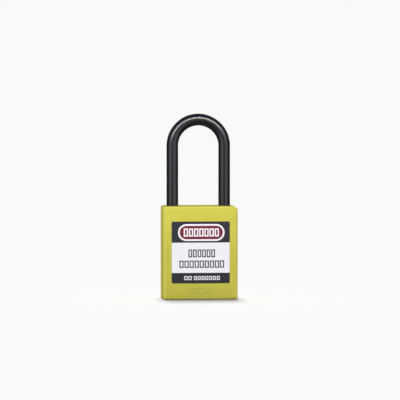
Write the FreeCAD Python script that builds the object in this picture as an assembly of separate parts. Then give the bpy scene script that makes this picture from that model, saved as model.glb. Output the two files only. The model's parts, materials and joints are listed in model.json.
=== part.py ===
"""Safety padlock for locking out electrical equipment, drawn in millimetres, +Z up.

A hollow one-piece nylon case stands on its open lower rim and is closed by an inset cover.
A moulded nylon shackle enters the top: its long heel leg at -X, its short toe leg at +X.
Inside, a brass pin-tumbler cylinder sits in a nylon carrier with its keyway facing down.
The plug's tail turns an oval cam, and the cam pushes one steel ball into each shackle leg.
Two steel pins, hidden by the rear label, hold the cover, and the cover holds the works.

Frame: the origin is the centre of the lower rim, the label looks along -Y, the legs lie
along X. Everything is drawn shackle down and plug turned to open, with no key in it.

The works are drawn about x = 0. The case and its labels are centred on CASE_X, and at the
end everything moves back by that much, so that the case's own middle is the origin.
"""

import FreeCAD
import Part
import math
import os

from FreeCAD import Vector

X_AXIS = Vector(1, 0, 0)
Y_AXIS = Vector(0, 1, 0)
Z_AXIS = Vector(0, 0, 1)

HEEL = -1
TOE = 1
FRONT = -1
REAR = 1
SNUG = 0.01             # clearance that holds by friction
SLIP = 0.05             # running clearance of a turned fit
LOOSE = 0.1             # clearance between moulded pieces
OVERCUT = 1.0           # how far a cutter runs past the face that it opens
TINY = 1e-6             # lengths below this count as none

# ---- Case -------------------------------------------------------------------------------
CASE_WIDTH = 38.0
CASE_DEPTH = 20.0
CASE_HEIGHT = 47.2
CASE_X = 0.4            # the works stand this far off the case's middle, towards the heel
CASE_CROWN = 0.5        # how far the front and rear bulge between the sides
CASE_EDGE_R = 2.0       # upright edges
CASE_HEEL_CORNER_R = 1.3  # top corner over the heel leg, seen from the front
CASE_TOE_CORNER_R = 2.4   # the rounder top corner over the toe leg
CASE_TOP_R = 0.9        # rounding along the top's front and rear
CASE_RIM_R = 0.6        # rounding round the lower rim

CAVITY_HALF_X = 8.8
CAVITY_HALF_Y = 7.6
CAVITY_TOP = CASE_HEIGHT - 2.6

# ---- Shackle ----------------------------------------------------------------------------
SHACKLE_R = 3.0
LEG_X = 13.25           # each leg's axis, left and right of the works' middle
SHACKLE_CLEARANCE = 40.9  # from the case's top to the inside of the bow
SHACKLE_LIFT = 12.5
BOW_R = LEG_X
BOW_Z = CASE_HEIGHT + SHACKLE_CLEARANCE - (BOW_R - SHACKLE_R)
LEG_BORE_R = SHACKLE_R + LOOSE
TIP_CHAMFER = 0.8
SPIGOT_R = 1.3          # on the heel leg's end, inside the spring
SPIGOT_LENGTH = 2.4
SPIGOT_CHAMFER = 0.4

# ---- Locking balls ----------------------------------------------------------------------
BALL_R = 3.0
BALL_Z = CASE_HEIGHT - 6.4
BALL_BITE = 1.2         # how deep a locked ball sits in its leg
LOCKED_BALL_X = LEG_X - SHACKLE_R + BALL_BITE - BALL_R
TOE_BALL_TRAVEL = 1.3
HEEL_BALL_TRAVEL = 0.8  # less than the toe's, so that the heel leg stays caught
BALL_BORE_R = BALL_R + LOOSE
NOTCH_R = BALL_R + 0.15
HEEL_NECK_R = 2.45      # the heel leg's groove, for swinging round the drawn-back ball
TOE_TIP_Z = BALL_Z - 5.5
TOE_BORE_FLOOR_Z = TOE_TIP_Z - 0.5
HEEL_TIP_Z = BALL_Z - 18.2

# ---- Cylinder ---------------------------------------------------------------------------
PLUG_Y = -1.0           # the plug's axis stands this far in front of the middle
PLUG_R = 4.0
PLUG_BORE_R = PLUG_R + SLIP
PLUG_FACE_Z = 0.8
PLUG_FACE_CHAMFER = 0.3
HOUSING_BOTTOM = 3.3
HOUSING_TOP = 30.2
HOUSING_R = 5.6
BIBLE_HALF_X = 2.6      # the bible is the block behind the plug that holds the drivers
BIBLE_REAR_Y = 7.4
FLANGE_R = 4.5
FLANGE_HEIGHT = 0.8
CLIP_Z = 30.4
CLIP_THICKNESS = 0.5
CLIP_R = 4.6
CLIP_GROOVE_R = 3.0
CLIP_MOUTH_HALF = 2.0
PLUG_HEAD_R = 3.9       # above the clip's groove
PLUG_HEAD_TOP = 31.6
TAIL_R = 2.6
TAIL_TOP = BALL_Z - 2.4
TANG_TOP = BALL_Z + 1.4
TANG_WIDTH = 2.4
TANG_LENGTH = 4.8
MERGE = 0.5             # how far two stages of one piece reach into each other
UNLOCK_TURN = 90.0      # from locked to open, about +Z

PIN_COUNT = 6
FIRST_PIN_Z = 6.4
PIN_PITCH = 3.8
PIN_R = 1.2
CHAMBER_R = PIN_R + SLIP
PIN_BORE_FLOOR = 0.3    # measured from the plug's axis: where a pin rests with no key in
KEY_PIN_LENGTHS = (1.9, 2.8, 2.2, 3.1, 2.5, 2.05)
KEY_PIN_BEVEL = 0.6
DRIVER_LENGTH = 2.0     # longer than the furthest drop, so that every driver can block
DRIVER_CHAMFER = 0.2
PIN_GAP = 0.05
CAP_THICKNESS = 0.7
CAP_HALF_X = 1.7
CAP_GAP = 0.02
SHEAR_Y = PLUG_Y + PLUG_R
CAP_INNER_Y = BIBLE_REAR_Y - CAP_THICKNESS

KEYWAY_WIDTH = 1.9
KEYWAY_PIN_SIDE = 2.7
KEYWAY_DEPTH = 27.6
WARD_DEPTH = 0.55
WARD_HEIGHT = 0.7
WARD_LEFT = -2.3
WARD_RIGHT = -3.4

# ---- Cam --------------------------------------------------------------------------------
CAM_LOBE = 5.22
CAM_TOE_FLAT = 3.9
CAM_HEEL_FLAT = 4.35
CAM_BOTTOM = TAIL_TOP + LOOSE
CAM_TOP = BALL_Z + 2.3
CAM_BORE_R = 5.75

# ---- Inserts ----------------------------------------------------------------------------
INSERT_HALF_X = 8.65
INSERT_HALF_Y = 7.45
INSERT_CORNER_R = 0.8
CARRIER_TOP = 32.3
CARRIER_LIP = 1.95
CARRIER_NECK_R = CLIP_R + 0.3
BLOCK_BOTTOM = CARRIER_TOP + LOOSE
BLOCK_TOP = CAVITY_TOP - LOOSE
BLOCK_BORE_TOP = CAM_TOP + 0.4

# ---- Cover and its pins -----------------------------------------------------------------
COVER_LENGTH = 33.6
COVER_DEPTH = 15.2
COVER_CORNER_R = 3.0
COVER_BOTTOM = 0.4
COVER_TOP = 3.2
COVER_EDGE_R = 0.3
COVER_GAP = 0.2
COVER_SEAT_TOP = COVER_TOP + SLIP
KEYHOLE_R = 4.2
KEYHOLE_LEAD = 0.5
POST_R = 3.0
POST_TOP = 12.6
COVER_PIN_R = 0.8
COVER_PIN_CHAMFER = 0.25
COVER_PIN_Z = 10.0
COVER_PIN_FRONT = -4.3
COVER_PIN_REAR = 9.2

# ---- Hollows moulded beside the leg bores, to keep the walls even -----------------------
HOLLOW_X = 13.6
HOLLOW_Y = 6.15
HOLLOW_HALF_X = 2.6
HOLLOW_HALF_Y = 1.45
HOLLOW_TOP = CASE_HEIGHT - 3.5
HOLLOW_CORNER_R = 0.8
TOE_BORE_WEB = 2.5      # solid left between the toe bore and the post's hole under it

# ---- Labels -----------------------------------------------------------------------------
LABEL_WIDTH = 29.5
LABEL_HEIGHT = 31.2
LABEL_MIDDLE_Z = 23.9
LABEL_CORNER_R = 0.8
LABEL_THICKNESS = 0.2
POCKET_MARGIN = 0.15
POCKET_FLOOR_Y = 9.4

# ---- Moulded marks on the front: a plain lozenge and short ribs --------------------------
LOZENGE_LENGTH = 10.4
LOZENGE_HEIGHT = 3.0
LOZENGE_Z = 4.1
LOZENGE_LINE = 0.45
MARK_DEPTH = 0.2
RIB_COUNT = 6
RIB_LENGTH = 1.8
RIB_HEIGHT = 0.4
RIB_PITCH = 1.4
RIB_X = 16.7
RIB_MIDDLE_Z = 23.9

# ---- Springs ----------------------------------------------------------------------------
SHACKLE_SPRING_R = 2.2
SHACKLE_SPRING_WIRE_R = 0.35
SHACKLE_SPRING_TURNS = 8
PIN_SPRING_R = 0.85
PIN_SPRING_WIRE_R = 0.13
PIN_SPRING_TURNS = 3
SPRING_GAP = 0.02


def upright_cylinder(radius, bottom, top, x=0.0, y=0.0):
    """A cylinder along Z between two heights."""
    return Part.makeCylinder(radius, top - bottom, Vector(x, y, bottom), Z_AXIS)


def lying_cylinder(radius, y0, y1, x, z):
    """A cylinder along Y between two depths."""
    return Part.makeCylinder(radius, y1 - y0, Vector(x, y0, z), Y_AXIS)


def block_between(x0, x1, y0, y1, z0, z1):
    """A plain block between two corners."""
    return Part.makeBox(x1 - x0, y1 - y0, z1 - z0, Vector(x0, y0, z0))


def upright_edges(shape):
    """The straight edges that run along Z."""
    found = []
    for edge in shape.Edges:
        start = edge.Vertexes[0].Point
        end = edge.Vertexes[-1].Point
        if math.hypot(start.x - end.x, start.y - end.y) < TINY < abs(start.z - end.z):
            found.append(edge)
    return found


def edges_at_height(shape, z):
    """The edges that lie wholly at one height."""
    return [e for e in shape.Edges if abs(e.BoundBox.ZMin - z) + abs(e.BoundBox.ZMax - z) < TINY]


def end_edges(shape):
    """The round edges at the ends of a cylinder along Y."""
    return [e for e in shape.Edges if e.BoundBox.YLength < TINY]


def upright_block(half_x, half_y, z0, z1, corner_r, x=0.0, y=0.0):
    """A block with rounded upright edges, centred on x and y."""
    block = block_between(x - half_x, x + half_x, y - half_y, y + half_y, z0, z1)
    return block.makeFillet(corner_r, upright_edges(block))


def lying_slab(length, height, corner_r, y0, y1, x_middle, z_middle):
    """A rounded rectangle in the XZ plane, between two depths."""
    half_x, half_z = length / 2, height / 2
    slab = block_between(x_middle - half_x, x_middle + half_x, y0, y1, z_middle - half_z, z_middle + half_z)
    through = [e for e in slab.Edges if abs(e.BoundBox.YLength - (y1 - y0)) < TINY]
    return slab.makeFillet(corner_r, through)


def lying_slot(length, height, y0, y1, x_middle, z_middle):
    """The same with its short sides fully round, short of a hair that keeps the sides flat."""
    return lying_slab(length, height, min(length, height) / 2 - SNUG, y0, y1, x_middle, z_middle)


def coil(radius, wire_r, length, turns):
    """A wire coil that stands on z = 0 and is `length` tall, its wire included."""
    rise = length - 2 * wire_r
    path = Part.makeHelix(rise / turns, rise, radius)
    ring = Part.makeCircle(wire_r, Vector(radius, 0, 0), Y_AXIS)
    made = Part.Wire(path.Edges).makePipeShell([Part.Wire(ring)], True, True)
    made.translate(Vector(0, 0, wire_r))
    return made


# ---- Case and cover ---------------------------------------------------------------------

def case_outline():
    """The case seen from above: straight sides, crowned front and rear."""
    half_x = CASE_WIDTH / 2
    crown_y = CASE_DEPTH / 2
    side_y = crown_y - CASE_CROWN
    front = Part.Arc(Vector(-half_x, -side_y, 0), Vector(0, -crown_y, 0), Vector(half_x, -side_y, 0))
    right = Part.LineSegment(front.EndPoint, Vector(half_x, side_y, 0))
    rear = Part.Arc(right.EndPoint, Vector(0, crown_y, 0), Vector(-half_x, side_y, 0))
    left = Part.LineSegment(rear.EndPoint, front.StartPoint)
    return Part.Wire([curve.toShape() for curve in (front, right, rear, left)])


def case_profile():
    """The case seen from the front: square feet, and a rounder corner over the toe leg."""
    half_x = CASE_WIDTH / 2
    heel, toe = CASE_HEEL_CORNER_R, CASE_TOE_CORNER_R
    inset = 1 - math.sqrt(0.5)
    heel_arc = Part.Arc(Vector(-half_x, 0, CASE_HEIGHT - heel),
                        Vector(-half_x + heel * inset, 0, CASE_HEIGHT - heel * inset),
                        Vector(-half_x + heel, 0, CASE_HEIGHT))
    toe_arc = Part.Arc(Vector(half_x - toe, 0, CASE_HEIGHT),
                       Vector(half_x - toe * inset, 0, CASE_HEIGHT - toe * inset),
                       Vector(half_x, 0, CASE_HEIGHT - toe))
    top = Part.LineSegment(heel_arc.EndPoint, toe_arc.StartPoint)
    right = Part.LineSegment(toe_arc.EndPoint, Vector(half_x, 0, 0))
    bottom = Part.LineSegment(right.EndPoint, Vector(-half_x, 0, 0))
    left = Part.LineSegment(bottom.EndPoint, heel_arc.StartPoint)
    return Part.Wire([curve.toShape() for curve in (heel_arc, top, toe_arc, right, bottom, left)])


def case_blank():
    """The case before it is hollowed, with all of its outer roundings."""
    blank = Part.Face(case_outline()).extrude(Vector(0, 0, CASE_HEIGHT))
    blank = blank.makeFillet(CASE_EDGE_R, upright_edges(blank))
    from_front = Part.Face(case_profile()).extrude(Vector(0, 2 * CASE_DEPTH, 0))
    from_front.translate(Vector(0, -CASE_DEPTH, 0))
    blank = blank.common(from_front).removeSplitter()
    under_corners = CASE_HEIGHT - CASE_TOE_CORNER_R - SNUG
    round_top = [
        edge for edge in blank.Edges
        if edge.BoundBox.ZMin > under_corners and edge.BoundBox.YLength < CASE_DEPTH / 2
    ]
    blank = blank.makeFillet(CASE_TOP_R, round_top)
    blank = blank.makeFillet(CASE_RIM_R, edges_at_height(blank, 0))
    blank.translate(Vector(CASE_X, 0, 0))
    return blank


def leg_bores():
    """The toe bore is blind. The heel bore runs down to the cover and holds the spring."""
    top = CASE_HEIGHT + OVERCUT
    toe = upright_cylinder(LEG_BORE_R, TOE_BORE_FLOOR_Z, top, x=LEG_X)
    heel = upright_cylinder(LEG_BORE_R, COVER_BOTTOM, top, x=-LEG_X)
    toe_post_hole = upright_cylinder(POST_R + LOOSE, COVER_BOTTOM, TOE_BORE_FLOOR_Z - TOE_BORE_WEB, x=LEG_X)
    return [toe, heel, toe_post_hole]


def moulded_hollows():
    """Four slots beside the leg bores, open at the bottom and covered by the cover."""
    return [
        upright_block(HOLLOW_HALF_X, HOLLOW_HALF_Y, COVER_BOTTOM, HOLLOW_TOP, HOLLOW_CORNER_R,
                      end * HOLLOW_X, side * HOLLOW_Y)
        for end in (HEEL, TOE)
        for side in (FRONT, REAR)
    ]


def label_pocket(side):
    """A flat-floored pocket, so its step is deepest at the middle of the crowned face."""
    y0, y1 = sorted((side * POCKET_FLOOR_Y, side * (CASE_DEPTH / 2 + OVERCUT)))
    return lying_slab(LABEL_WIDTH + 2 * POCKET_MARGIN, LABEL_HEIGHT + 2 * POCKET_MARGIN,
                      LABEL_CORNER_R, y0, y1, CASE_X, LABEL_MIDDLE_Z)


def moulded_marks():
    """A plain lozenge outline under the label and a ladder of short ribs at its left."""
    outside = -(CASE_DEPTH / 2 + OVERCUT)
    lozenge_floor = -(CASE_DEPTH / 2 - MARK_DEPTH)
    outer = lying_slot(LOZENGE_LENGTH, LOZENGE_HEIGHT, outside, lozenge_floor, CASE_X, LOZENGE_Z)
    inner = lying_slot(LOZENGE_LENGTH - 2 * LOZENGE_LINE, LOZENGE_HEIGHT - 2 * LOZENGE_LINE,
                       outside, lozenge_floor, CASE_X, LOZENGE_Z)
    marks = [outer.cut(inner)]
    crown_here = CASE_CROWN * (RIB_X / (CASE_WIDTH / 2)) ** 2
    rib_floor = -(CASE_DEPTH / 2 - crown_here - MARK_DEPTH)
    for index in range(RIB_COUNT):
        z = RIB_MIDDLE_Z + (index - (RIB_COUNT - 1) / 2) * RIB_PITCH
        marks.append(lying_slot(RIB_LENGTH, RIB_HEIGHT, outside, rib_floor, CASE_X - RIB_X, z))
    return marks


def ball_way():
    """The straight bore that both balls roll in, from one leg to the other."""
    return Part.makeCylinder(BALL_BORE_R, 2 * LEG_X, Vector(-LEG_X, 0, BALL_Z), X_AXIS)


def cover_pin_holes(y0, y1):
    """The holes that both cover pins are pressed into."""
    return [lying_cylinder(COVER_PIN_R + SNUG, y0, y1, end * LEG_X, COVER_PIN_Z) for end in (HEEL, TOE)]


def body_shell():
    """The one-piece case, hollowed from below."""
    cavity = upright_block(CAVITY_HALF_X, CAVITY_HALF_Y, -OVERCUT, CAVITY_TOP, INSERT_CORNER_R)
    cover_seat = upright_block(COVER_LENGTH / 2 + COVER_GAP, COVER_DEPTH / 2 + COVER_GAP,
                               -OVERCUT, COVER_SEAT_TOP, COVER_CORNER_R + COVER_GAP, x=CASE_X)
    cutters = [cavity, cover_seat, ball_way()]
    cutters += cover_pin_holes(COVER_PIN_FRONT, CASE_DEPTH / 2)
    cutters += leg_bores() + moulded_hollows() + moulded_marks()
    cutters += [label_pocket(FRONT), label_pocket(REAR)]
    return case_blank().cut(cutters)


def bottom_cover():
    """The inset plate under the works. Its two posts fill the leg bores and take the pins."""
    plate = upright_block(COVER_LENGTH / 2, COVER_DEPTH / 2, COVER_BOTTOM, COVER_TOP,
                          COVER_CORNER_R, x=CASE_X)
    plate = plate.makeFillet(COVER_EDGE_R, edges_at_height(plate, COVER_BOTTOM))
    posts = [upright_cylinder(POST_R, COVER_TOP - MERGE, POST_TOP, x=end * LEG_X) for end in (HEEL, TOE)]
    keyhole = upright_cylinder(KEYHOLE_R, -OVERCUT, COVER_TOP + OVERCUT, y=PLUG_Y)
    lead_in = Part.makeCone(KEYHOLE_R + KEYHOLE_LEAD, KEYHOLE_R, KEYHOLE_LEAD,
                            Vector(0, PLUG_Y, COVER_BOTTOM), Z_AXIS)
    return plate.fuse(posts).cut([keyhole, lead_in] + cover_pin_holes(-CASE_DEPTH, CASE_DEPTH))


def cover_pin(end):
    """A steel pin through the case's rear wall, a leg bore's wall and the cover's post."""
    pin = lying_cylinder(COVER_PIN_R, COVER_PIN_FRONT + LOOSE, COVER_PIN_REAR, end * LEG_X, COVER_PIN_Z)
    return pin.makeChamfer(COVER_PIN_CHAMFER, end_edges(pin))


def label(side):
    """A printed sticker that lies in its pocket."""
    y0, y1 = sorted((side * POCKET_FLOOR_Y, side * (POCKET_FLOOR_Y + LABEL_THICKNESS)))
    return lying_slab(LABEL_WIDTH, LABEL_HEIGHT, LABEL_CORNER_R, y0, y1, CASE_X, LABEL_MIDDLE_Z)


# ---- Shackle ----------------------------------------------------------------------------

def leg(x, tip_z):
    """One straight leg, from its chamfered tip up to the bow."""
    made = upright_cylinder(SHACKLE_R, tip_z, BOW_Z, x=x)
    return made.makeChamfer(TIP_CHAMFER, edges_at_height(made, tip_z))


def shackle():
    """The U, with a cross notch in the toe leg and a long slot and a neck in the heel leg."""
    section = Part.Face(Part.Wire(Part.makeCircle(SHACKLE_R, Vector(LEG_X, 0, BOW_Z), Z_AXIS)))
    bow = section.revolve(Vector(0, 0, BOW_Z), Y_AXIS, -180)
    spigot_tip = HEEL_TIP_Z - SPIGOT_LENGTH
    spigot = upright_cylinder(SPIGOT_R, spigot_tip, HEEL_TIP_Z + MERGE, x=-LEG_X)
    spigot = spigot.makeChamfer(SPIGOT_CHAMFER, edges_at_height(spigot, spigot_tip))
    made = bow.fuse([leg(LEG_X, TOE_TIP_Z), leg(-LEG_X, HEEL_TIP_Z), spigot]).removeSplitter()

    half = SHACKLE_R + OVERCUT
    notch = lying_cylinder(NOTCH_R, -half, half, LOCKED_BALL_X, BALL_Z)
    slot = lying_slot(2 * NOTCH_R, SHACKLE_LIFT + 2 * NOTCH_R, -half, half,
                      -LOCKED_BALL_X, BALL_Z - SHACKLE_LIFT / 2)
    neck = Part.makeTorus(HEEL_NECK_R + NOTCH_R, NOTCH_R, Vector(-LEG_X, 0, BALL_Z - SHACKLE_LIFT), Z_AXIS)
    return made.cut(neck).cut([notch, slot])


def shackle_spring():
    """The coil under the heel leg, standing on the cover's post."""
    length = HEEL_TIP_Z - POST_TOP - 2 * SLIP
    made = coil(SHACKLE_SPRING_R, SHACKLE_SPRING_WIRE_R, length, SHACKLE_SPRING_TURNS)
    made.translate(Vector(-LEG_X, 0, POST_TOP + SLIP))
    return made


# ---- Locking works ----------------------------------------------------------------------

def ball(end, travel):
    """A steel ball drawn back off its leg, as the open plug leaves it."""
    return Part.makeSphere(BALL_R, Vector(end * (LOCKED_BALL_X - travel), 0, BALL_Z))


def latch_block():
    """The insert above the cylinder. The cam turns in its bore, the balls roll through it."""
    made = upright_block(INSERT_HALF_X, INSERT_HALF_Y, BLOCK_BOTTOM, BLOCK_TOP, INSERT_CORNER_R)
    cam_bore = upright_cylinder(CAM_BORE_R, BLOCK_BOTTOM - OVERCUT, BLOCK_BORE_TOP, y=PLUG_Y)
    return made.cut([cam_bore, ball_way()])


def cam_half(end, flat):
    """Half of the cam's outline at one end: half an ellipse whose long axis joins the lobes."""
    ellipse = Part.Ellipse(Vector(0, CAM_LOBE, 0), Vector(end * flat, 0, 0), Vector(0, 0, 0))
    return Part.Arc(ellipse, 0, math.pi).toShape()


def cam():
    """An oval cam on the plug's tang: two lobes along Y, a deeper flat at the toe side."""
    outline = Part.Wire([cam_half(TOE, CAM_TOE_FLAT), cam_half(HEEL, CAM_HEEL_FLAT)])
    made = Part.Face(outline).extrude(Vector(0, 0, CAM_TOP - CAM_BOTTOM))
    made.translate(Vector(0, PLUG_Y, CAM_BOTTOM))
    half_x = TANG_WIDTH / 2 + SLIP
    half_y = TANG_LENGTH / 2 + SLIP
    slot = block_between(-half_x, half_x, PLUG_Y - half_y, PLUG_Y + half_y,
                         CAM_BOTTOM - OVERCUT, CAM_TOP + OVERCUT)
    return made.cut(turned_open(slot))


def core_carrier():
    """The insert that centres the round cylinder in the square cavity."""
    made = upright_block(INSERT_HALF_X, INSERT_HALF_Y, HOUSING_BOTTOM, CARRIER_TOP, INSERT_CORNER_R)
    seat_top = CARRIER_TOP - CARRIER_LIP
    barrel = upright_cylinder(HOUSING_R + LOOSE, HOUSING_BOTTOM - OVERCUT, seat_top, y=PLUG_Y)
    half_x = BIBLE_HALF_X + LOOSE
    bible = block_between(-half_x, half_x, PLUG_Y, INSERT_HALF_Y + OVERCUT,
                          HOUSING_BOTTOM - OVERCUT, seat_top)
    neck = upright_cylinder(CARRIER_NECK_R, seat_top - OVERCUT, CARRIER_TOP + OVERCUT, y=PLUG_Y)
    return made.cut([barrel, bible, neck])


# ---- Cylinder ---------------------------------------------------------------------------

def turned_open(shape):
    """Turns a plug piece, drawn locked with its pins towards +Y, to the open position."""
    made = shape.copy()
    made.rotate(Vector(0, PLUG_Y, 0), Z_AXIS, UNLOCK_TURN)
    return made


def pin_height(index):
    """The height of a pin's axis, counted from the nose up."""
    return FIRST_PIN_Z + index * PIN_PITCH


def chambers(y0, y1):
    """The row of pin chambers between two depths."""
    return [lying_cylinder(CHAMBER_R, y0, y1, 0, pin_height(i)) for i in range(PIN_COUNT)]


def cylinder_housing():
    """The fixed barrel and bible, drilled for the plug and for six pin chambers."""
    barrel = upright_cylinder(HOUSING_R, HOUSING_BOTTOM, HOUSING_TOP, y=PLUG_Y)
    bible = block_between(-BIBLE_HALF_X, BIBLE_HALF_X, PLUG_Y, BIBLE_REAR_Y, HOUSING_BOTTOM, HOUSING_TOP)
    plug_bore = upright_cylinder(PLUG_BORE_R, HOUSING_BOTTOM - OVERCUT, HOUSING_TOP + OVERCUT, y=PLUG_Y)
    counterbore = upright_cylinder(FLANGE_R + LOOSE, HOUSING_BOTTOM - OVERCUT,
                                   HOUSING_BOTTOM + FLANGE_HEIGHT + SLIP, y=PLUG_Y)
    cap_slot = block_between(-CAP_HALF_X, CAP_HALF_X, CAP_INNER_Y, BIBLE_REAR_Y + OVERCUT,
                             HOUSING_BOTTOM - OVERCUT, HOUSING_TOP + OVERCUT)
    cutters = [plug_bore, counterbore, cap_slot] + chambers(PLUG_Y, BIBLE_REAR_Y)
    return barrel.fuse(bible).cut(cutters)


def chamber_cap():
    """The strip that closes the pin chambers and backs their springs."""
    half_x = CAP_HALF_X - CAP_GAP
    return block_between(-half_x, half_x, CAP_INNER_Y + CAP_GAP, BIBLE_REAR_Y,
                         HOUSING_BOTTOM + LOOSE, HOUSING_TOP - LOOSE)


def keyway():
    """The warded slot that the key enters, open along the plug's front side."""
    bottom = PLUG_FACE_Z - OVERCUT
    top = PLUG_FACE_Z + KEYWAY_DEPTH
    half = KEYWAY_WIDTH / 2
    slot = block_between(-half, half, PLUG_Y - PLUG_R - OVERCUT, PLUG_Y + KEYWAY_PIN_SIDE, bottom, top)
    wards = []
    for side, from_axis in ((HEEL, WARD_LEFT), (TOE, WARD_RIGHT)):
        x0, x1 = sorted((side * half, side * (half - WARD_DEPTH)))
        y = PLUG_Y + from_axis
        wards.append(block_between(x0, x1, y, y + WARD_HEIGHT, bottom, top))
    return slot.cut(wards)


def plug():
    """The turning core: flanged nose, six pin bores, clip groove, tail and tang."""
    barrel = upright_cylinder(PLUG_R, PLUG_FACE_Z, HOUSING_TOP, y=PLUG_Y)
    barrel = barrel.makeChamfer(PLUG_FACE_CHAMFER, edges_at_height(barrel, PLUG_FACE_Z))
    flange = upright_cylinder(FLANGE_R, HOUSING_BOTTOM, HOUSING_BOTTOM + FLANGE_HEIGHT, y=PLUG_Y)
    head = upright_cylinder(PLUG_HEAD_R, CLIP_Z + CLIP_THICKNESS + LOOSE, PLUG_HEAD_TOP, y=PLUG_Y)
    neck = upright_cylinder(CLIP_GROOVE_R, HOUSING_TOP - MERGE, PLUG_HEAD_TOP, y=PLUG_Y)
    tail = upright_cylinder(TAIL_R, PLUG_HEAD_TOP - MERGE, TAIL_TOP, y=PLUG_Y)
    half_x = TANG_WIDTH / 2
    half_y = TANG_LENGTH / 2
    tang = block_between(-half_x, half_x, PLUG_Y - half_y, PLUG_Y + half_y, TAIL_TOP - MERGE, TANG_TOP)
    pin_bores = chambers(PLUG_Y + PIN_BORE_FLOOR, SHEAR_Y + OVERCUT)
    return turned_open(barrel.fuse([flange, head, neck, tail, tang]).cut([keyway()] + pin_bores))


def key_pin(index):
    """A brass pin in the plug, its outer end at the shear line and its tip bevelled."""
    outer = SHEAR_Y - PIN_GAP
    inner = outer - KEY_PIN_LENGTHS[index]
    z = pin_height(index)
    pin = lying_cylinder(PIN_R, inner, outer, 0, z)
    pin = pin.makeChamfer(KEY_PIN_BEVEL, [e for e in end_edges(pin) if e.BoundBox.YMax < outer - TINY])
    rim = upright_cylinder(PLUG_R - PIN_GAP, z - PIN_PITCH, z + PIN_PITCH, y=PLUG_Y)
    return turned_open(pin.common(rim))


def driver_pin(index):
    """A driver in the bible, resting on the plug."""
    inner = SHEAR_Y + PIN_GAP
    pin = lying_cylinder(PIN_R, inner, inner + DRIVER_LENGTH, 0, pin_height(index))
    return pin.makeChamfer(DRIVER_CHAMFER, end_edges(pin))


def pin_spring(index):
    """The small coil between a driver and the chamber cap."""
    inner = SHEAR_Y + PIN_GAP + DRIVER_LENGTH + SPRING_GAP
    made = coil(PIN_SPRING_R, PIN_SPRING_WIRE_R, CAP_INNER_Y - SPRING_GAP - inner, PIN_SPRING_TURNS)
    made.rotate(Vector(0, 0, 0), X_AXIS, -90)
    made.translate(Vector(0, inner, pin_height(index)))
    return made


def plug_clip():
    """The open ring that keeps the plug from dropping out of the housing."""
    top = CLIP_Z + CLIP_THICKNESS
    ring = upright_cylinder(CLIP_R, CLIP_Z, top, y=PLUG_Y)
    inside = upright_cylinder(CLIP_GROOVE_R + SLIP, CLIP_Z - OVERCUT, top + OVERCUT, y=PLUG_Y)
    mouth = block_between(-CLIP_MOUTH_HALF, CLIP_MOUTH_HALF, PLUG_Y - CLIP_R - OVERCUT, PLUG_Y,
                          CLIP_Z - OVERCUT, top + OVERCUT)
    return turned_open(ring.cut([inside, mouth]))


def all_parts():
    """Every piece of the padlock by its node name, in the padlock's own frame."""
    parts = {
        "body_shell": body_shell(),
        "bottom_cover": bottom_cover(),
        "cover_pin_heel": cover_pin(HEEL),
        "cover_pin_toe": cover_pin(TOE),
        "front_label": label(FRONT),
        "rear_label": label(REAR),
        "shackle": shackle(),
        "shackle_spring": shackle_spring(),
        "locking_ball_toe": ball(TOE, TOE_BALL_TRAVEL),
        "locking_ball_heel": ball(HEEL, HEEL_BALL_TRAVEL),
        "latch_block": latch_block(),
        "locking_cam": cam(),
        "core_carrier": core_carrier(),
        "cylinder_housing": cylinder_housing(),
        "chamber_cap": chamber_cap(),
        "plug": plug(),
        "plug_clip": plug_clip(),
    }
    for index in range(PIN_COUNT):
        parts[f"key_pin_{index + 1}"] = key_pin(index)
        parts[f"driver_pin_{index + 1}"] = driver_pin(index)
        parts[f"pin_spring_{index + 1}"] = pin_spring(index)
    for shape in parts.values():
        shape.translate(Vector(-CASE_X, 0, 0))
    return parts


def main():
    os.makedirs("parts", exist_ok=True)
    for name, shape in all_parts().items():
        sound = shape.isValid() and len(shape.Solids) == 1
        print(f"{name:20s} volume {shape.Volume:9.2f} mm3, one sound solid: {sound}")
        shape.exportStep(f"parts/{name}.step")


main()
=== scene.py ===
import bpy
import bmesh
import json
import math
from mathutils import Matrix, Vector

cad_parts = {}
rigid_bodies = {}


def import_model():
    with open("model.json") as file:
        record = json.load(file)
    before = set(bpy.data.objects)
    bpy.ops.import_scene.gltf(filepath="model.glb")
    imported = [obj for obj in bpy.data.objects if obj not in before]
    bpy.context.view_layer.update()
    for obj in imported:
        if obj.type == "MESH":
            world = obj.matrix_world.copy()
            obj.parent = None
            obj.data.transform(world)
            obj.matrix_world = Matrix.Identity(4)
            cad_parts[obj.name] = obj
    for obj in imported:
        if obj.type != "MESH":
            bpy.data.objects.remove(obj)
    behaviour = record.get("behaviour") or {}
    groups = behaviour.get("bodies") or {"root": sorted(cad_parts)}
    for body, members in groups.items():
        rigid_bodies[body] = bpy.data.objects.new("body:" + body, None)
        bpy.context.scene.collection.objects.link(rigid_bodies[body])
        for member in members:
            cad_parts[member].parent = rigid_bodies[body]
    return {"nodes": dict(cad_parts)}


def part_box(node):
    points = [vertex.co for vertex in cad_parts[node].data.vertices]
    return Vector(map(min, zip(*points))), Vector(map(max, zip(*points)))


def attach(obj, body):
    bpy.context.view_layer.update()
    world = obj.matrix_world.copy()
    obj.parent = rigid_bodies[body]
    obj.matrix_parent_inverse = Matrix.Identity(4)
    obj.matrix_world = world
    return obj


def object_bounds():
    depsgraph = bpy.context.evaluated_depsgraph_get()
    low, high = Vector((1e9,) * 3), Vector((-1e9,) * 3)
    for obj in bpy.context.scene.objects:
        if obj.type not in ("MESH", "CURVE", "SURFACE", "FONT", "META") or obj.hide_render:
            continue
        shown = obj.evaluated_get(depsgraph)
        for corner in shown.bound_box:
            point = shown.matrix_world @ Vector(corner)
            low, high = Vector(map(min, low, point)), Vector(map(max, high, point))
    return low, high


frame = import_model()
cad_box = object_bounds()
nodes = frame["nodes"]
scene = bpy.context.scene


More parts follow.
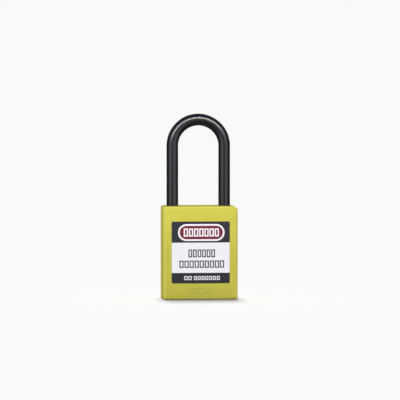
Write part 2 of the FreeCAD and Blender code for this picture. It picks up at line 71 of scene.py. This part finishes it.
# ---- Case and cover ------------------------------------------------------------------------
# The case is one injection moulding in yellow nylon, and the cover is a second one, set in from
# below and pinned. The mould was spark-eroded, so every outer face carries a fine even grain.

MM = 0.001
CASE_YELLOW = (0.56, 0.515, 0.055, 1.0)
CASE_YELLOW_PALE = (0.585, 0.54, 0.062, 1.0)
CASE_YELLOW_RUBBED = (0.64, 0.60, 0.11, 1.0)


def new_finish(name, colour, roughness, metallic=0.0):
    """A material with one Principled shader, and the object coordinates that its grain reads."""
    finish = bpy.data.materials.new(name)
    finish.use_nodes = True
    shader = finish.node_tree.nodes["Principled BSDF"]
    shader.inputs["Base Color"].default_value = colour
    shader.inputs["Roughness"].default_value = roughness
    shader.inputs["Metallic"].default_value = metallic
    place = finish.node_tree.nodes.new("ShaderNodeTexCoord")
    place.name = "Place"
    return finish


def add_noise(finish, size, detail=3.0, stretch=(1, 1, 1)):
    """Noise with features about `size` metres across, stretched along chosen axes."""
    tree = finish.node_tree
    mapping = tree.nodes.new("ShaderNodeMapping")
    mapping.inputs["Scale"].default_value = stretch
    noise = tree.nodes.new("ShaderNodeTexNoise")
    noise.inputs["Scale"].default_value = 1 / size
    noise.inputs["Detail"].default_value = detail
    tree.links.new(tree.nodes["Place"].outputs["Object"], mapping.inputs["Vector"])
    tree.links.new(mapping.outputs["Vector"], noise.inputs["Vector"])
    return noise.outputs["Fac"]


def add_range(finish, value, low, high, from_low=0.35, from_high=0.65):
    """Spreads the middle of a noise over a chosen range."""
    spread = finish.node_tree.nodes.new("ShaderNodeMapRange")
    spread.inputs["From Min"].default_value = from_low
    spread.inputs["From Max"].default_value = from_high
    spread.inputs["To Min"].default_value = low
    spread.inputs["To Max"].default_value = high
    finish.node_tree.links.new(value, spread.inputs["Value"])
    return spread.outputs["Result"]


def add_blend(finish, amount, first, second):
    """A colour between two others. Each is a colour or another node's output."""
    tree = finish.node_tree
    blend = tree.nodes.new("ShaderNodeMix")
    blend.data_type = "RGBA"
    tree.links.new(amount, blend.inputs["Factor"])
    for socket, colour in ((blend.inputs["A"], first), (blend.inputs["B"], second)):
        if isinstance(colour, tuple):
            socket.default_value = colour
        else:
            tree.links.new(colour, socket)
    return blend.outputs["Result"]


def connect(finish, value, socket):
    """Feeds a value into the finish's shader."""
    shader = finish.node_tree.nodes["Principled BSDF"]
    finish.node_tree.links.new(value, shader.inputs[socket])


def add_bump(finish, height, depth):
    """Relief `depth` metres deep, laid over any relief that is there already."""
    tree = finish.node_tree
    shader = tree.nodes["Principled BSDF"]
    bump = tree.nodes.new("ShaderNodeBump")
    bump.inputs["Distance"].default_value = depth
    tree.links.new(height, bump.inputs["Height"])
    if shader.inputs["Normal"].is_linked:
        tree.links.new(shader.inputs["Normal"].links[0].from_socket, bump.inputs["Normal"])
    tree.links.new(bump.outputs["Normal"], shader.inputs["Normal"])


def add_edge_mask(finish, radius, start=0.02, end=0.25):
    """Near 1 on edges sharper than `radius` metres, 0 on open faces."""
    tree = finish.node_tree
    rounded = tree.nodes.new("ShaderNodeBevel")
    rounded.samples = 4
    rounded.inputs["Radius"].default_value = radius
    geometry = tree.nodes.new("ShaderNodeNewGeometry")
    across = tree.nodes.new("ShaderNodeVectorMath")
    across.operation = "DOT_PRODUCT"
    tree.links.new(rounded.outputs["Normal"], across.inputs[0])
    tree.links.new(geometry.outputs["Normal"], across.inputs[1])
    away = tree.nodes.new("ShaderNodeMath")
    away.operation = "SUBTRACT"
    away.inputs[0].default_value = 1.0
    tree.links.new(across.outputs["Value"], away.inputs[1])
    return add_range(finish, away.outputs["Value"], 0.0, 1.0, start, end)


def dress(finish, *names):
    """Gives a finish to CAD nodes."""
    for name in names:
        node = nodes[name]
        for place in node.material_slots:
            place.material = finish
        if not node.material_slots:
            node.data.materials.append(finish)


case_nylon = new_finish("yellow_moulded_nylon", CASE_YELLOW, 0.5)
cloud = add_range(case_nylon, add_noise(case_nylon, 14 * MM, detail=2), 0.0, 1.0)
moulded_colour = add_blend(case_nylon, cloud, CASE_YELLOW, CASE_YELLOW_PALE)
rubbed = add_edge_mask(case_nylon, 0.35 * MM)
connect(case_nylon, add_blend(case_nylon, rubbed, moulded_colour, CASE_YELLOW_RUBBED), "Base Color")
connect(case_nylon, add_range(case_nylon, add_noise(case_nylon, 3 * MM), 0.44, 0.56), "Roughness")
add_bump(case_nylon, add_noise(case_nylon, 0.22 * MM, detail=1), 0.006 * MM)
dress(case_nylon, "body_shell", "bottom_cover")


# ---- Shackle -------------------------------------------------------------------------------
# The shackle is moulded in black glass-filled nylon, so that it carries no current. It is a
# round bar with a satin skin. Both legs drop into the case, where a steel ball catches each.

shackle_nylon = new_finish("black_shackle_nylon", (0.005, 0.005, 0.007, 1.0), 0.26)
smear = add_noise(shackle_nylon, 1.6 * MM, detail=2, stretch=(1, 1, 0.25))
connect(shackle_nylon, add_range(shackle_nylon, smear, 0.23, 0.29), "Roughness")
fibre = add_range(shackle_nylon, add_noise(shackle_nylon, 0.5 * MM, detail=2), 0.0, 1.0)
shackle_black = add_blend(shackle_nylon, fibre, (0.004, 0.004, 0.006, 1), (0.006, 0.006, 0.009, 1))
connect(shackle_nylon, shackle_black, "Base Color")
add_bump(shackle_nylon, add_noise(shackle_nylon, 1.4 * MM, detail=1), 0.002 * MM)
dress(shackle_nylon, "shackle")


# ---- Front label ---------------------------------------------------------------------------
# A vinyl sticker in its pocket: a white field between two black bands, and a dark red oval in
# a white ring. Each letter of the words that a real one carries is left as an empty box.

INK_THICKNESS = 0.02 * MM
GLOSS_SPREAD = 0.06             # how far an ink's roughness strays either way
CORNER_SEGMENTS = 8
HAIR = 0.001 * MM               # left flat between two corners that nearly meet
LABEL_CORNER_R = 0.8 * MM
HEADER_SHARE = 0.339            # each band's share of the label's height
FOOTER_SHARE = 0.168
OVAL_DROP = 0.175               # how far down the label each row stands, as a share
UPPER_DROP = 0.515
LOWER_DROP = 0.690
OVAL_WIDTH_SHARE = 0.804
OVAL_HEIGHT_SHARE = 0.274
RING_WIDTH = 0.85 * MM
HEADER_X = 0.3 * MM             # the print is a little off the label's middle
LINES_X = 0.5 * MM
FOOTER_LEFT_X = -6.5 * MM
FOOTER_RIGHT_X = 3.1 * MM
WORD_GAP = 0.45 * MM            # between two of the boxes that stand for letters
label_low, label_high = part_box("front_label")
label_width = label_high.x - label_low.x
label_height = label_high.z - label_low.z


def add_height(finish):
    """The height above the floor, in metres."""
    tree = finish.node_tree
    parts = tree.nodes.new("ShaderNodeSeparateXYZ")
    tree.links.new(tree.nodes["Place"].outputs["Object"], parts.inputs["Vector"])
    return parts.outputs["Z"]


label_vinyl = new_finish("white_label_vinyl", (0.88, 0.87, 0.92, 1.0), 0.34)
connect(label_vinyl, add_range(label_vinyl, add_noise(label_vinyl, 2.2 * MM), 0.28, 0.42), "Roughness")
toned = add_range(label_vinyl, add_noise(label_vinyl, 5 * MM), 0.0, 1.0)
# Painted light and shade: the white is darker towards the label's top and lighter towards its bottom, to
# even out how the lamps fall on it. The vinyl has not faded.
painted_light_white = add_blend(label_vinyl, toned, (0.91, 0.905, 0.945, 1), (0.94, 0.935, 0.97, 1))
painted_shade_white = add_blend(label_vinyl, toned, (0.755, 0.75, 0.795, 1), (0.785, 0.778, 0.815, 1))
height_up = add_range(label_vinyl, add_height(label_vinyl), 0.0, 1.0, label_low.z, label_high.z)
connect(label_vinyl, add_blend(label_vinyl, height_up, painted_light_white, painted_shade_white), "Base Color")
add_bump(label_vinyl, add_noise(label_vinyl, 1.2 * MM, detail=2), 0.004 * MM)
dress(label_vinyl, "front_label")


def ink(name, colour, speck_colour, roughness):
    """Screen ink: pinholes let a little of what is under it show, and its gloss is uneven."""
    made = new_finish(name, colour, roughness)
    specks = add_range(made, add_noise(made, 0.35 * MM, detail=2), 0.0, 1.0, 0.60, 0.78)
    connect(made, add_blend(made, specks, colour, speck_colour), "Base Color")
    uneven = add_noise(made, 1.5 * MM)
    connect(made, add_range(made, uneven, roughness - GLOSS_SPREAD, roughness + GLOSS_SPREAD), "Roughness")
    add_bump(made, add_noise(made, 0.8 * MM, detail=2), 0.003 * MM)
    return made


black_ink = ink("black_label_ink", (0.034, 0.034, 0.047, 1.0), (0.10, 0.10, 0.12, 1.0), 0.38)
red_ink = ink("dark_red_label_ink", (0.20, 0.022, 0.045, 1.0), (0.30, 0.06, 0.08, 1.0), 0.36)
white_ink = ink("white_label_ink", (0.90, 0.89, 0.93, 1.0), (0.84, 0.83, 0.87, 1.0), 0.36)


def ink_outline(width, height, corners=(0, 0, 0, 0)):
    """A flat rectangle in the XZ plane, facing -Y, with its corners rounded one by one.

    `corners` gives the four radii, from the lower left, anticlockwise as the label is read.
    """
    made = bmesh.new()
    spots = ((-1, -1), (1, -1), (1, 1), (-1, 1))
    ring = [made.verts.new((x * width / 2, 0, z * height / 2)) for x, z in spots]
    made.faces.new(ring)
    for corner, radius in zip(ring, corners):
        if radius > 0:
            bmesh.ops.bevel(made, geom=[corner], offset=radius, offset_type="OFFSET",
                            segments=CORNER_SEGMENTS, profile=0.5, affect="VERTICES", material=-1)
    return made


def thicken(made, thickness):
    """Raises a flat print towards -Y by its ink's thickness."""
    raised = bmesh.ops.extrude_face_region(made, geom=made.faces[:])
    tops = [part for part in raised["geom"] if isinstance(part, bmesh.types.BMVert)]
    bmesh.ops.translate(made, verts=tops, vec=(0, -thickness, 0))
    bmesh.ops.recalc_face_normals(made, faces=made.faces[:])


def finished_piece(name, made, finish, body):
    """Turns a bmesh into a visible piece that rides on a body."""
    mesh = bpy.data.meshes.new(name)
    made.to_mesh(mesh)
    made.free()
    piece = bpy.data.objects.new(name, mesh)
    scene.collection.objects.link(piece)
    mesh.materials.append(finish)
    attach(piece, body)
    return piece


def print_on_label(name, made, x, z, layer, finish):
    """Gives a flat outline its ink's thickness, `layer` inks above the vinyl."""
    thicken(made, INK_THICKNESS)
    bmesh.ops.translate(made, verts=made.verts[:], vec=(x, label_low.y - layer * INK_THICKNESS, z))
    finished_piece(name, made, finish, "case")


def blank_word(name, count, width, height, line, x, z, layer, finish):
    """A printed word with every letter left as an empty box."""
    pitch = (width + WORD_GAP) / count
    box_width = pitch - WORD_GAP
    made = bmesh.new()
    for index in range(count):
        middle = (index - (count - 1) / 2) * pitch
        spots = ((-1, -1), (1, -1), (1, 1), (-1, 1))
        made.faces.new([made.verts.new((middle + i * box_width / 2, 0, k * height / 2)) for i, k in spots])
    made.normal_update()
    insides = made.faces[:]
    bmesh.ops.inset_individual(made, faces=insides, thickness=line, use_even_offset=True)
    bmesh.ops.delete(made, geom=insides, context="FACES")
    print_on_label(name, made, x, z, layer, finish)


header_height = HEADER_SHARE * label_height
footer_height = FOOTER_SHARE * label_height
header_z = label_high.z - header_height / 2
footer_z = label_low.z + footer_height / 2
header_band = ink_outline(label_width, header_height, (0, 0, LABEL_CORNER_R, LABEL_CORNER_R))
footer_band = ink_outline(label_width, footer_height, (LABEL_CORNER_R, LABEL_CORNER_R, 0, 0))
print_on_label("label_header_band", header_band, 0, header_z, 0, black_ink)
print_on_label("label_footer_band", footer_band, 0, footer_z, 0, black_ink)

oval_z = label_high.z - OVAL_DROP * label_height
oval_width = OVAL_WIDTH_SHARE * label_width
oval_height = OVAL_HEIGHT_SHARE * label_height
red_width = oval_width - 2 * RING_WIDTH
red_height = oval_height - 2 * RING_WIDTH
white_oval = ink_outline(oval_width, oval_height, (oval_height / 2 - HAIR,) * 4)
red_oval = ink_outline(red_width, red_height, (red_height / 2 - HAIR,) * 4)
print_on_label("label_oval_ring", white_oval, HEADER_X, oval_z, 1, white_ink)
print_on_label("label_oval", red_oval, HEADER_X, oval_z, 2, red_ink)

upper_z = label_high.z - UPPER_DROP * label_height
lower_z = label_high.z - LOWER_DROP * label_height
blank_word("label_header_word", 7, 17.9 * MM, 4.1 * MM, 0.64 * MM, HEADER_X, oval_z, 3, white_ink)
blank_word("label_upper_word", 6, 13.5 * MM, 4.0 * MM, 0.54 * MM, LINES_X, upper_z, 0, black_ink)
blank_word("label_lower_word", 9, 22.7 * MM, 3.7 * MM, 0.54 * MM, LINES_X, lower_z, 0, black_ink)
blank_word("label_footer_word_left", 2, 3.9 * MM, 2.0 * MM, 0.42 * MM,
           FOOTER_LEFT_X, footer_z, 1, white_ink)
blank_word("label_footer_word_right", 7, 13.1 * MM, 2.0 * MM, 0.42 * MM,
           FOOTER_RIGHT_X, footer_z, 1, white_ink)


# ---- Rear label ----------------------------------------------------------------------------
# A matt white vinyl sticker to write a name on, printed with three ruled lines. It is stuck in
# the same kind of pocket on the rear, and hides the ends of the cover pins.

rear_low, rear_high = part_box("rear_label")
rear_vinyl = new_finish("matt_writing_vinyl", (0.84, 0.84, 0.86, 1.0), 0.6)
connect(rear_vinyl, add_range(rear_vinyl, add_noise(rear_vinyl, 2 * MM), 0.52, 0.66), "Roughness")
add_bump(rear_vinyl, add_noise(rear_vinyl, 0.25 * MM), 0.004 * MM)
dress(rear_vinyl, "rear_label")

RULE_COUNT = 3
RULE_LINE = 0.3 * MM
RULE_SHARE = 0.84               # of the label's width
RULE_SPACES = 5                 # line spaces in the label's height
RULES_DROP = 0.4                # line spaces by which the rules stand below the middle
rule_width = RULE_SHARE * (rear_high.x - rear_low.x)
rule_pitch = (rear_high.z - rear_low.z) / RULE_SPACES
turned = Matrix.Rotation(math.pi, 3, "Z")
for index in range(RULE_COUNT):
    rule = ink_outline(rule_width, RULE_LINE)
    thicken(rule, INK_THICKNESS)
    above_middle = (index - (RULE_COUNT - 1) / 2 - RULES_DROP) * rule_pitch
    z = (rear_high.z + rear_low.z) / 2 + above_middle
    bmesh.ops.rotate(rule, verts=rule.verts[:], cent=(0, 0, 0), matrix=turned)
    bmesh.ops.translate(rule, verts=rule.verts[:], vec=(0, rear_high.y, z))
    finished_piece(f"rear_rule_{index + 1}", rule, black_ink, "case")


# ---- Steel ---------------------------------------------------------------------------------
# The cover pins and the drivers are turned, and the cam is milled. The springs and the plug's
# clip are drawn wire, and the balls that lock the shackle are polished bearing balls.

turned_steel = new_finish("turned_steel", (0.52, 0.52, 0.53, 1.0), 0.32, metallic=1.0)
connect(turned_steel, add_range(turned_steel, add_noise(turned_steel, 0.4 * MM), 0.24, 0.40), "Roughness")
add_bump(turned_steel, add_noise(turned_steel, 0.06 * MM, stretch=(1, 1, 8)), 0.002 * MM)
dress(turned_steel, "cover_pin_heel", "cover_pin_toe", "locking_cam")
dress(turned_steel, *[f"driver_pin_{index}" for index in range(1, 7)])

spring_wire = new_finish("drawn_spring_wire", (0.40, 0.40, 0.42, 1.0), 0.38, metallic=1.0)
connect(spring_wire, add_range(spring_wire, add_noise(spring_wire, 0.3 * MM), 0.30, 0.48), "Roughness")
dress(spring_wire, "shackle_spring", "plug_clip")
dress(spring_wire, *[f"pin_spring_{index}" for index in range(1, 7)])

ball_steel = new_finish("polished_ball_steel", (0.72, 0.72, 0.74, 1.0), 0.1, metallic=1.0)
connect(ball_steel, add_range(ball_steel, add_noise(ball_steel, 0.8 * MM), 0.06, 0.16), "Roughness")
dress(ball_steel, "locking_ball_toe", "locking_ball_heel")


# ---- Brass ---------------------------------------------------------------------------------
# The cylinder is machined brass: a milled housing, a turned plug with its keyway broached
# through, and turned key pins. Handling dulls the nose that shows underneath.

plug_brass = new_finish("turned_brass", (0.62, 0.46, 0.19, 1.0), 0.3, metallic=1.0)
dulled = add_range(plug_brass, add_noise(plug_brass, 1.2 * MM, detail=4), 0.0, 1.0)
brass_tone = add_blend(plug_brass, dulled, (0.66, 0.50, 0.22, 1), (0.52, 0.37, 0.15, 1))
connect(plug_brass, brass_tone, "Base Color")
connect(plug_brass, add_range(plug_brass, add_noise(plug_brass, 0.5 * MM), 0.22, 0.42), "Roughness")
add_bump(plug_brass, add_noise(plug_brass, 0.05 * MM, stretch=(1, 1, 8)), 0.002 * MM)
dress(plug_brass, "plug", "cylinder_housing", "chamber_cap")
dress(plug_brass, *[f"key_pin_{index}" for index in range(1, 7)])


# ---- Inserts -------------------------------------------------------------------------------
# The carrier and the latch block are moulded in black glass-filled nylon. They fill the case's
# cavity and take the load from the lock's works.

insert_nylon = new_finish("black_insert_nylon", (0.03, 0.03, 0.032, 1.0), 0.5)
connect(insert_nylon, add_range(insert_nylon, add_noise(insert_nylon, 0.6 * MM), 0.42, 0.6), "Roughness")
add_bump(insert_nylon, add_noise(insert_nylon, 0.25 * MM), 0.006 * MM)
dress(insert_nylon, "core_carrier", "latch_block")


# ---- Studio --------------------------------------------------------------------------------
# A pale floor in a bright surround. Softboxes light the case and the shackle apart, an arc of
# bars draws the bow's highlight, and overhead lamps throw the shadow. The lens is a long one.

FLOOR_R = 0.9
FLOOR_SEGMENTS = 96
floor_mesh = bpy.data.meshes.new("floor")
floor_disc = bmesh.new()
bmesh.ops.create_circle(floor_disc, cap_ends=True, segments=FLOOR_SEGMENTS, radius=FLOOR_R)
floor_disc.to_mesh(floor_mesh)
floor_disc.free()
floor = bpy.data.objects.new("floor", floor_mesh)
scene.collection.objects.link(floor)
floor_finish = new_finish("pale_floor", (0.6, 0.6, 0.6, 1.0), 0.9)
floor_finish.node_tree.nodes["Principled BSDF"].inputs["Specular IOR Level"].default_value = 0.0
floor_mesh.materials.append(floor_finish)
floor.visible_glossy = False

SURROUND = 0.947                # what the camera sees behind the padlock
FILL = 0.175                    # what lights it from all round
DARK_WALLS = 0.01               # what its gloss reflects away from the softboxes
world = bpy.data.worlds.new("studio")
scene.world = world
world.use_nodes = True
surround = world.node_tree.nodes["Background"]
surround.inputs["Color"].default_value = (1.0, 1.0, 1.0, 1.0)
rays = world.node_tree.nodes.new("ShaderNodeLightPath")
around = world.node_tree.nodes.new("ShaderNodeMix")
around.inputs["A"].default_value = FILL
around.inputs["B"].default_value = DARK_WALLS
world.node_tree.links.new(rays.outputs["Is Glossy Ray"], around.inputs["Factor"])
behind = world.node_tree.nodes.new("ShaderNodeMix")
behind.inputs["B"].default_value = SURROUND
world.node_tree.links.new(rays.outputs["Is Camera Ray"], behind.inputs["Factor"])
world.node_tree.links.new(around.outputs["Result"], behind.inputs["A"])
world.node_tree.links.new(behind.outputs["Result"], surround.inputs["Strength"])

case_lit = bpy.data.collections.new("lit_case")
shackle_lit = bpy.data.collections.new("lit_shackle")
floor_lit = bpy.data.collections.new("lit_floor")
shackle_lit.objects.link(nodes["shackle"])
floor_lit.objects.link(floor)
for piece in bpy.data.objects:
    if piece.type == "MESH" and piece not in (floor, nodes["shackle"]):
        case_lit.objects.link(piece)


def towards(azimuth, elevation):
    """A direction in degrees. Azimuth 0 is straight in front, and 90 is over the toe leg."""
    a, e = math.radians(azimuth), math.radians(elevation)
    return Vector((math.sin(a) * math.cos(e), -math.cos(a) * math.cos(e), math.sin(e)))


def area_light(name, width, height, power, receivers):
    """A rectangular light that shines on one collection only."""
    lamp = bpy.data.lights.new(name, "AREA")
    lamp.shape = "RECTANGLE"
    lamp.size = width
    lamp.size_y = height
    lamp.energy = power
    made = bpy.data.objects.new(name, lamp)
    scene.collection.objects.link(made)
    made.light_linking.receiver_collection = receivers
    return made


def softbox(name, azimuth, elevation, distance, aim_z, width, height, power, receivers):
    """A light that looks at the padlock's own axis, at one height."""
    made = area_light(name, width, height, power, receivers)
    away = towards(azimuth, elevation)
    made.location = Vector((0, 0, aim_z)) + away * distance
    made.rotation_euler = away.to_track_quat("Z", "Y").to_euler()


BOX_DISTANCE = 0.5
CASE_AIM = 0.03
SHACKLE_AIM = 0.06
softbox("case_upper", -2, 44, 0.166, 0.035, 0.20, 0.05, 0.261, case_lit)
softbox("case_left", -84, 10, BOX_DISTANCE, CASE_AIM, 0.15, 0.4, 0.8, case_lit)
softbox("case_right", 75, 10, BOX_DISTANCE, CASE_AIM, 0.15, 0.4, 0.42, case_lit)
softbox("case_rear_left", -145, 30, BOX_DISTANCE, CASE_AIM, 0.2, 0.4, 0.5, case_lit)
softbox("case_rear_right", 145, 30, BOX_DISTANCE, CASE_AIM, 0.2, 0.4, 0.5, case_lit)
softbox("shackle_left", -47, 4, BOX_DISTANCE, SHACKLE_AIM, 0.54, 0.5, 1.03, shackle_lit)
softbox("shackle_right", 37, 4, BOX_DISTANCE, SHACKLE_AIM, 0.54, 0.5, 1.03, shackle_lit)
softbox("shackle_rear_left", -160, 12, BOX_DISTANCE, SHACKLE_AIM, 0.12, 0.4, 0.3, shackle_lit)
softbox("shackle_rear_right", 160, 12, BOX_DISTANCE, SHACKLE_AIM, 0.12, 0.4, 0.3, shackle_lit)

BOUNCE_WIDTH = 0.05             # the light that the floor throws up at the case's foot
BOUNCE_DEPTH = 0.011
BOUNCE_HEIGHT = 0.0004
BOUNCE_POWER = 0.00042
bounce = area_light("floor_bounce", BOUNCE_WIDTH, BOUNCE_DEPTH, BOUNCE_POWER, case_lit)
bounce.location = (0, cad_box[0].y - BOUNCE_DEPTH / 2, BOUNCE_HEIGHT)
bounce.rotation_euler.x = math.pi
bounce.visible_camera = False
bounce.visible_glossy = False

ARC_SPREAD = math.radians(40)   # how far off the lens's axis the arc of bars stands
ARC_DISTANCE = 0.25
ARC_BARS = (-56, -28, -3, 22, 47)   # degrees round the bow, from its top towards the toe leg
BAR_LENGTH = 0.085
BAR_WIDTH = 0.018
BAR_POWER = 0.29
bow_middle = Vector((0, 0, 0.08))
for index, around_bow in enumerate(ARC_BARS):
    turn = math.radians(around_bow)
    outwards = Vector((math.sin(turn), 0, math.cos(turn)))
    along = Vector((math.cos(turn), 0, -math.sin(turn)))
    away = outwards * math.sin(ARC_SPREAD) + Vector((0, -math.cos(ARC_SPREAD), 0))
    bar = area_light(f"bow_bar_{index + 1}", BAR_LENGTH, BAR_WIDTH, BAR_POWER, shackle_lit)
    bar.matrix_world = Matrix((along, away.cross(along), away)).transposed().to_4x4()
    bar.location = bow_middle + away * ARC_DISTANCE

OVERHEAD_COUNT = 7
OVERHEAD_SPAN = math.radians(31)
OVERHEAD_TILT = math.radians(15.5)
OVERHEAD_BLUR = math.radians(14)
OVERHEAD_STRENGTH = 4.67        # of all of them together
for index in range(OVERHEAD_COUNT):
    lamp = bpy.data.lights.new(f"overhead_{index + 1}", "SUN")
    lamp.energy = OVERHEAD_STRENGTH / OVERHEAD_COUNT
    lamp.angle = OVERHEAD_BLUR
    overhead = bpy.data.objects.new(lamp.name, lamp)
    overhead.rotation_euler.x = -(OVERHEAD_TILT + (index / (OVERHEAD_COUNT - 1) - 0.5) * OVERHEAD_SPAN)
    scene.collection.objects.link(overhead)
    overhead.light_linking.receiver_collection = floor_lit
    overhead.light_linking.blocker_collection = case_lit

CAMERA_AZIMUTH = -5.2
CAMERA_ELEVATION = 2.5
CAMERA_DISTANCE = 1.6
CAMERA_AIM = Vector((0.0005, 0, 0.0501))
VIEW_WIDTH = 0.2038             # seen across the picture at the padlock
SENSOR_WIDTH = 36
camera_data = bpy.data.cameras.new("camera")
camera_data.sensor_width = SENSOR_WIDTH
camera_data.lens = SENSOR_WIDTH * CAMERA_DISTANCE / VIEW_WIDTH
camera = bpy.data.objects.new("camera", camera_data)
scene.collection.objects.link(camera)
away = towards(CAMERA_AZIMUTH, CAMERA_ELEVATION)
camera.location = CAMERA_AIM + away * CAMERA_DISTANCE
camera.rotation_euler = away.to_track_quat("Z", "Y").to_euler()
scene.camera = camera
scene.view_settings.view_transform = "Standard"
